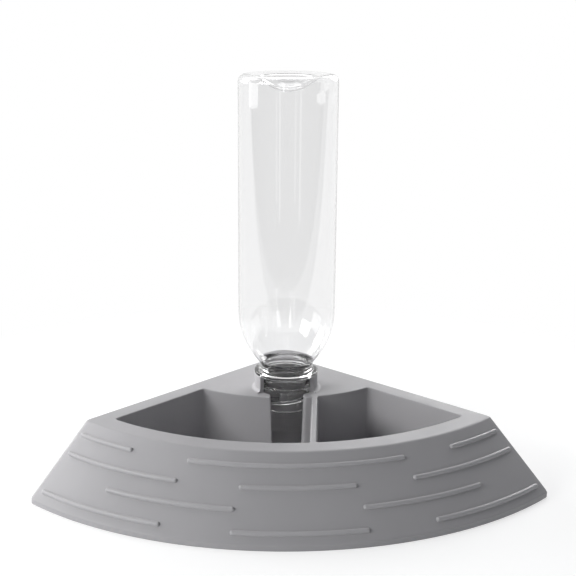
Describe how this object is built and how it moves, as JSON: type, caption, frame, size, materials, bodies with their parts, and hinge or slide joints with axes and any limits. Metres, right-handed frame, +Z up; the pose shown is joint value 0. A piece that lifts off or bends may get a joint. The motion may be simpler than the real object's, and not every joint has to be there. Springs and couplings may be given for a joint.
{
  "type": "reptile water dispenser",
  "caption": "Quarter-round corner dish with a ribbed ramp, a water bowl and a food bowl, fed by a clear bottle standing upside down in a socket.",
  "frame": {"origin": "middle of the outline at ground level", "axes": "+Z up; +Y towards the square back corner of the dish; -Y towards the ramp; +X across the ramp, towards the right-hand bowl"},
  "size_m": [0.2446, 0.1724, 0.1941],
  "materials": {
    "dish": "fine matte moulded grey plastic",
    "bottle": "clear blown plastic"
  },
  "bodies": {
    "root": {"dish": "dish", "bottle": "bottle"}
  },
  "joints": []
}
